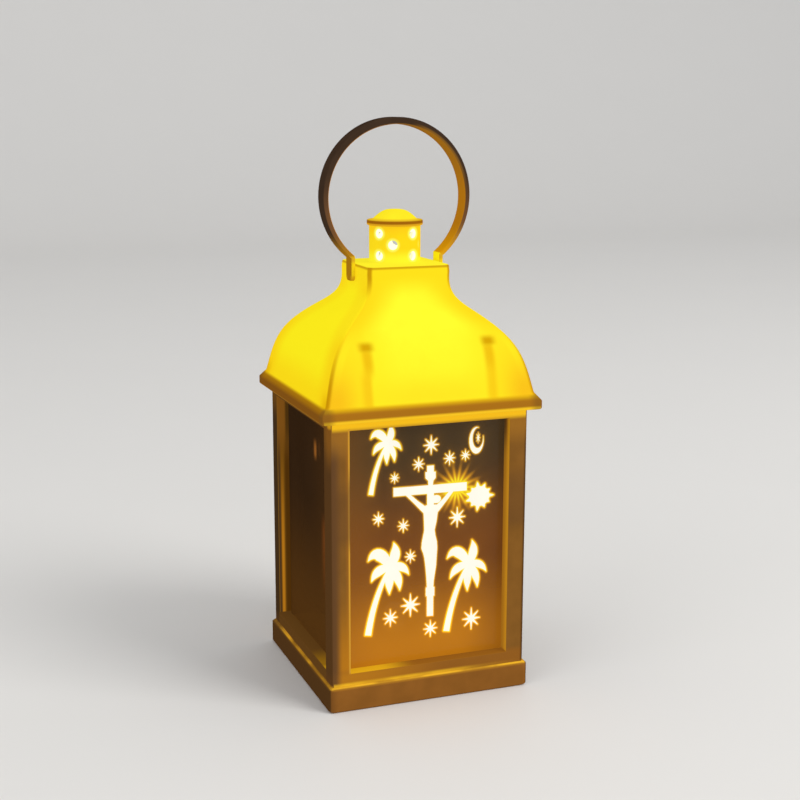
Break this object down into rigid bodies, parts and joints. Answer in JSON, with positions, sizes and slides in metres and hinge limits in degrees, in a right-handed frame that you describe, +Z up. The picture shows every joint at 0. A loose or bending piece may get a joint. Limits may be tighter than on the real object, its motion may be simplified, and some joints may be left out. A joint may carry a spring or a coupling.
{
  "type": "led lantern",
  "caption": "Small battery lantern: square windowed body with an engraved front pane, translucent ogee roof, pierced chimney, swinging strip ring and underside switch.",
  "frame": {"origin": "middle of the underside, on the surface that the lantern stands on", "axes": "+Z up through the chimney; the engraved front pane faces -Y; the ring turns about X"},
  "size_m": [0.0556, 0.0556, 0.1401],
  "materials": {
    "frame_plastic": "satin, warm ivory under amber light",
    "roof_plastic": "satin translucent, lit from inside",
    "cap_plastic": "satin translucent",
    "ring_plastic": "satin",
    "pane_acrylic": "clear acrylic with a warm cast",
    "plated_steel": "nickel plated",
    "contact_brass": "stamped",
    "board_laminate": "solder masked laminate",
    "diode_lens": "clear epoxy",
    "resistor_body": "lacquered",
    "switch_plastic": "moulded",
    "red_wire": "pvc",
    "black_wire": "pvc"
  },
  "bodies": {
    "lantern": {"body_frame": "frame_plastic", "base_tray": "frame_plastic", "light_deck": "frame_plastic", "roof_shell": "roof_plastic", "chimney_tube": "roof_plastic", "chimney_cap": "cap_plastic", "front_pane": "pane_acrylic", "back_pane": "pane_acrylic", "left_pane": "pane_acrylic", "right_pane": "pane_acrylic", "button_cell_1": "plated_steel", "button_cell_2": "plated_steel", "button_cell_3": "plated_steel", "roof_screw_front_left": "plated_steel", "roof_screw_front_right": "plated_steel", "roof_screw_back_right": "plated_steel", "roof_screw_back_left": "plated_steel", "base_screw_front_left": "plated_steel", "base_screw_front_right": "plated_steel", "base_screw_back_right": "plated_steel", "base_screw_back_left": "plated_steel", "contact_positive": "contact_brass", "contact_link_upper": "contact_brass", "contact_negative": "contact_brass", "base_light_board": "board_laminate", "roof_light_board": "board_laminate", "base_light_diode": "diode_lens", "roof_light_diode": "diode_lens", "base_resistor": "resistor_body", "roof_resistor": "resistor_body", "switch_case": "switch_plastic", "battery_lead_red": "red_wire", "switch_lead": "red_wire", "riser_lead_red": "red_wire", "battery_lead_black": "black_wire", "riser_lead_black": "black_wire"},
    "ring": {"carrying_ring": "ring_plastic"},
    "door": {"battery_door": "frame_plastic", "door_screw_front": "plated_steel", "door_screw_back": "plated_steel", "contact_link_door": "contact_brass"},
    "knob": {"switch_knob": "switch_plastic"}
  },
  "joints": [
    {"name": "ring_swing", "type": "hinge", "parent": "lantern", "child": "ring", "pos_m": [0, 0, 0.10225], "axis": [1, 0, 0], "range_deg": [-100, 100]},
    {"name": "power_switch", "type": "slide", "parent": "lantern", "child": "knob", "axis": [1, 0, 0], "range_m": [0, 0.002]},
    {"name": "battery_door_release", "type": "slide", "parent": "lantern", "child": "door", "axis": [0, 0, -1], "range_m": [0, 0.012]}
  ]
}
